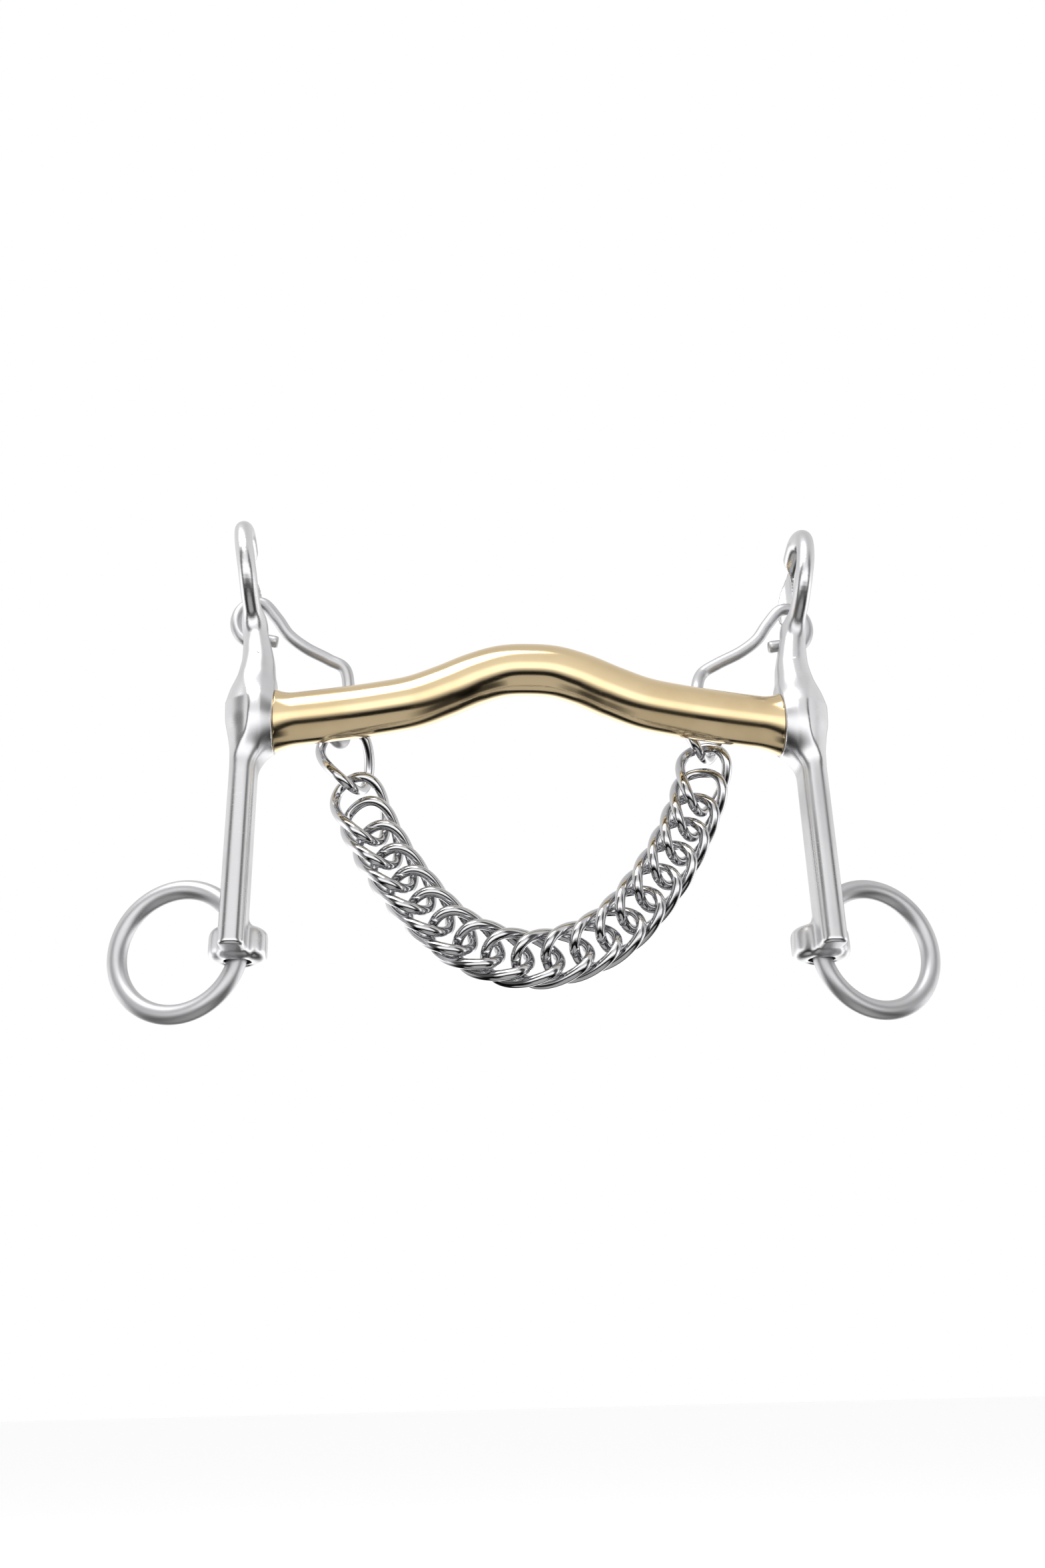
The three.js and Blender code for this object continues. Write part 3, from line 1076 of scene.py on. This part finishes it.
@dataclass
class Studio:
    """A plain pale sweep, a soft studio sky for the metal to mirror, and the camera."""

    floor_height: float = -0.34
    target: tuple[float, float, float] = (-0.0024, 0.0, -0.0737)
    distance: float = 0.3622
    azimuth: float = -4.0
    elevation: float = -24.1
    roll: float = -1.4
    lens: float = 31.74
    lamp_place: tuple[float, float, float] = (-0.35, -0.5, 0.75)
    lamp_size: tuple[float, float] = (0.9, 0.6)
    lamp_power: float = 6
    # Brightness from straight below to straight above.
    sky_bands: tuple[tuple[float, float], ...] = (
        (0.0, 0.66),
        (0.105, 0.6),
        (0.12, 0.01),
        (0.21, 0.01),
        (0.3, 0.9),
        (0.36, 1.9),
        (0.5, 1.9),
        (0.6, 1.15),
        (0.85, 0.95),
        (1.0, 0.8),
    )
    # Brightness from the far side of the bit round to the front, on its left and right.
    side_flags: tuple[tuple[float, float], ...] = (
        (0.0, 0.2),
        (0.05, 0.3),
        (0.11, 1.0),
        (0.6, 1.0),
        (0.66, 0.08),
        (0.8, 0.08),
        (0.86, 1.0),
        (1.0, 1.0),
    )

    def back(self) -> Vector:
        """The direction from the bit to the camera."""
        turn, tilt = math.radians(self.azimuth), math.radians(self.elevation)
        return Vector((math.sin(turn) * math.cos(tilt), -math.cos(turn) * math.cos(tilt), math.sin(tilt)))

    def sky(self) -> None:
        """The surroundings: pale to the eye, and a studio with dark flags to the metal."""
        world = bpy.data.worlds.new("studio")
        bpy.context.scene.world = world
        world.use_nodes = True
        tree = world.node_tree
        tree.nodes.clear()
        where = put(tree, "ShaderNodeTexCoord")
        axes = put(tree, "ShaderNodeSeparateXYZ", {0: where.outputs["Generated"]})
        rise = put(tree, "ShaderNodeMapRange", {0: axes.outputs[2], 1: -1.0, 2: 1.0})
        bands = put(tree, "ShaderNodeValToRGB", {0: rise.outputs[0]})
        self.fill(bands.color_ramp, self.sky_bands)
        towards = put(
            tree,
            "ShaderNodeVectorMath",
            {0: where.outputs["Generated"]},
            operation="DOT_PRODUCT",
        )
        towards.inputs[1].default_value = self.back()
        facing = put(tree, "ShaderNodeMapRange", {0: towards.outputs["Value"], 1: -1.0, 2: 1.0})
        ring = put(tree, "ShaderNodeValToRGB", {0: facing.outputs[0]})
        self.fill(ring.color_ramp, self.side_flags)
        sideways = put(tree, "ShaderNodeMath", {0: axes.outputs[0]}, operation="ABSOLUTE")
        beside = put(tree, "ShaderNodeMapRange", {0: sideways.outputs[0], 1: 0.3, 2: 0.5})
        flags = put(
            tree,
            "ShaderNodeMix",
            {0: beside.outputs[0], 7: ring.outputs[0]},
            data_type="RGBA",
        )
        flags.inputs[6].default_value = (1, 1, 1, 1)
        mirror = put(
            tree,
            "ShaderNodeMix",
            {0: 1.0, 6: bands.outputs[0], 7: flags.outputs[2]},
            data_type="RGBA",
            blend_type="MULTIPLY",
        )
        seen = put(tree, "ShaderNodeLightPath")
        pale = put(
            tree,
            "ShaderNodeMix",
            {0: seen.outputs["Is Glossy Ray"], 7: mirror.outputs[2]},
            data_type="RGBA",
        )
        pale.inputs[6].default_value = (1, 1, 1, 1)
        light = put(tree, "ShaderNodeBackground", {"Color": pale.outputs[2], "Strength": 1.0})
        put(tree, "ShaderNodeOutputWorld", {"Surface": light.outputs[0]})

    def fill(self, ramp: bpy.types.ColorRamp, stops: Sequence[tuple[float, float]]) -> None:
        """Sets a ramp's stops.

        Args:
            ramp: the ramp.
            stops: place and brightness of each stop.
        """
        while len(ramp.elements) > 1:
            ramp.elements.remove(ramp.elements[-1])
        ramp.elements[0].position = stops[0][0]
        ramp.elements[0].color = (stops[0][1],) * 3 + (1,)
        for position, value in stops[1:]:
            ramp.elements.new(position).color = (value,) * 3 + (1,)

    def floor(self) -> None:
        """The pale floor, well below the bit."""
        bpy.ops.mesh.primitive_plane_add(size=60, location=(0, 0, self.floor_height))
        floor = bpy.context.object
        floor.name = "pale_floor"
        floor.visible_glossy = False
        paint = bpy.data.materials.new("pale_paper")
        paint.use_nodes = True
        shader = paint.node_tree.nodes["Principled BSDF"]
        shader.inputs["Base Color"].default_value = (0.97, 0.97, 0.97, 1)
        shader.inputs["Roughness"].default_value = 0.9
        floor.data.materials.append(paint)

    def lamp(self) -> None:
        """One large soft lamp overhead."""
        data = bpy.data.lights.new("softbox", "AREA")
        data.shape = "RECTANGLE"
        data.size, data.size_y = self.lamp_size
        data.energy = self.lamp_power
        made = bpy.data.objects.new("softbox", data)
        bpy.context.scene.collection.objects.link(made)
        made.location = self.lamp_place
        aim = Vector(self.target) - made.location
        made.rotation_euler = aim.to_track_quat("-Z", "Y").to_euler()

    def camera(self) -> None:
        """The camera, looking up at the bit from the front."""
        data = bpy.data.cameras.new("camera")
        data.lens = self.lens
        data.sensor_width = 36
        data.sensor_fit = "AUTO"
        data.clip_start = 0.01
        made = bpy.data.objects.new("camera", data)
        bpy.context.scene.collection.objects.link(made)
        target, back = Vector(self.target), self.back()
        made.location = target + self.distance * back
        made.rotation_euler = (-back).to_track_quat("-Z", "Y").to_euler()
        made.rotation_euler.rotate_axis("Z", math.radians(self.roll))
        bpy.context.scene.camera = made

    def build(self) -> None:
        """Sets up the studio."""
        self.sky()
        self.floor()
        self.lamp()
        self.camera()
        bpy.context.scene.view_settings.view_transform = "Standard"


def main() -> None:
    """Builds the studio and every part of the bit."""
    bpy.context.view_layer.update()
    Studio().build()
    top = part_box("right_cheek")[1][2]
    placing = Placing(top - (Cheeks.eye_top + Cheeks.eye_wire) * MM)
    line = ChainLine()
    Mouthpiece(placing).build()
    Cheeks(placing).build()
    ReinRings(placing).build()
    CurbHooks(placing, line).build()
    CurbChain(placing, line).build()


logging.basicConfig(level=logging.INFO, format="%(name)s: %(message)s")
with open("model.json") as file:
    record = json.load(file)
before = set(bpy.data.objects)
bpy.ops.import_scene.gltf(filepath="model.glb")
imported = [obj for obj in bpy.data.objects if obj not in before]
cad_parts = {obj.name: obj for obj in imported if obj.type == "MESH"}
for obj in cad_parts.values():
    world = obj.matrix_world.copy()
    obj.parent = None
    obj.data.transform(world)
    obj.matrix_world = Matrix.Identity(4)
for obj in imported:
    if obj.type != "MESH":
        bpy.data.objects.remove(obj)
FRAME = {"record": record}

if __name__ == "__main__":
    main()
